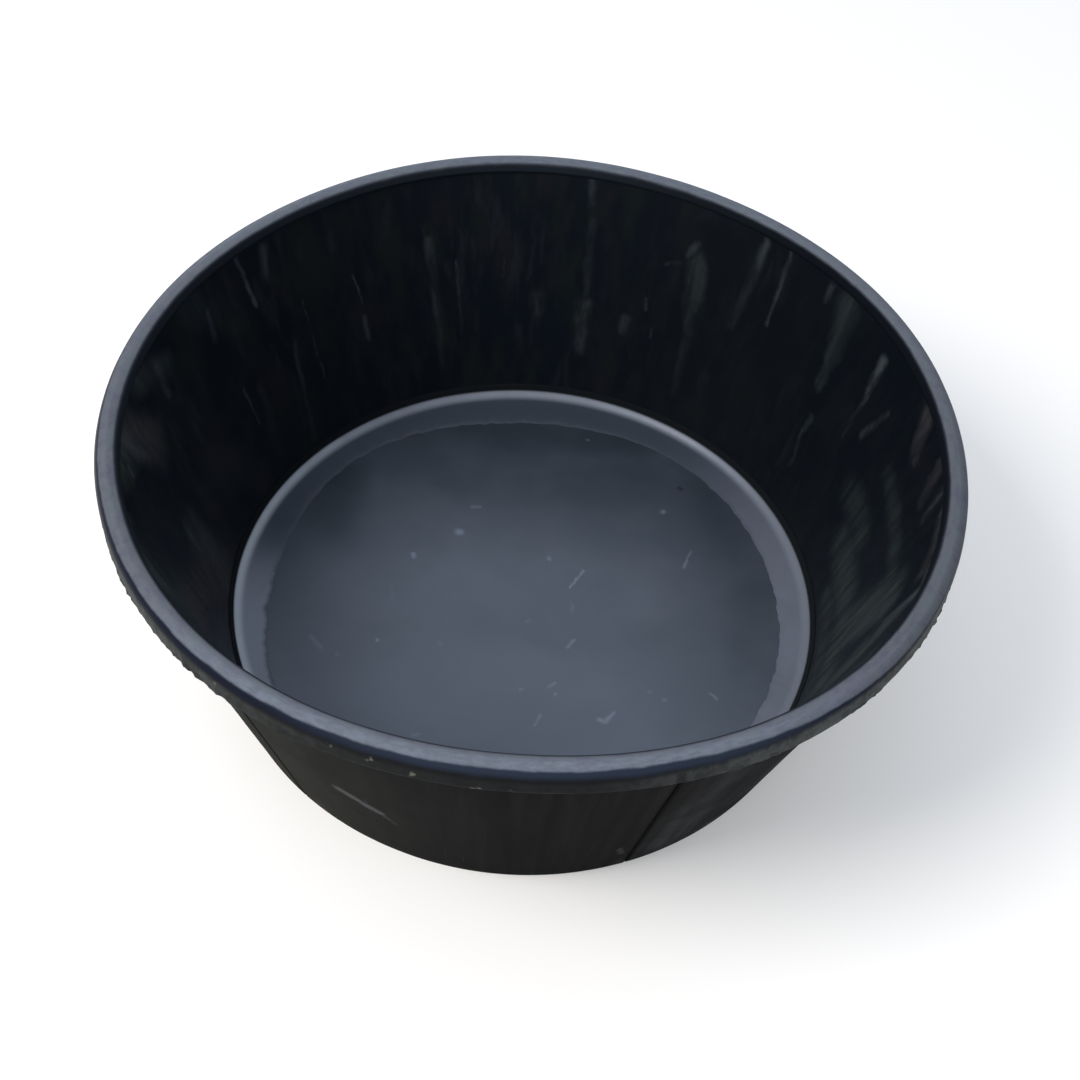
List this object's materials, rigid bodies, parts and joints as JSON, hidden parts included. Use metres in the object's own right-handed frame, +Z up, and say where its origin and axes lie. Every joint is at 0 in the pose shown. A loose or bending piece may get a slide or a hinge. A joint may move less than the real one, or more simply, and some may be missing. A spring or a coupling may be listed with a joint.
{
  "type": "rubber tub",
  "caption": "Low round tapered tub of thick black rubber with a heavy rim bead, flat floor and sloping corner band, for feed, water or mixing.",
  "frame": {"origin": "centre of the tub's footprint, on the ground", "axes": "+Z up along the tub's axis; -Y is the front, the side the picture looks from"},
  "size_m": [0.6378, 0.6378, 0.2495],
  "materials": {
    "base_rubber": "matt black moulded rubber, scuffed",
    "floor_rubber": "worn satin rubber, blue-grey with dust and fine pale scratches",
    "corner_rubber": "worn satin rubber, dustier than the floor",
    "liner_rubber": "dark satin rubber with faint pale drip streaks",
    "cover_rubber": "matt olive-black rubber with faint streaks and scrapes",
    "bead_rubber": "worn satin rubber, grey on top and black on its outer face"
  },
  "bodies": {
    "root": {"base_sheet": "base_rubber", "floor_sheet": "floor_rubber", "corner_ring": "corner_rubber", "wall_liner": "liner_rubber", "rim_bead": "bead_rubber", "wall_cover_1": "cover_rubber", "wall_cover_2": "cover_rubber", "wall_cover_3": "cover_rubber", "wall_cover_4": "cover_rubber", "wall_cover_5": "cover_rubber", "wall_cover_6": "cover_rubber"}
  },
  "joints": []
}
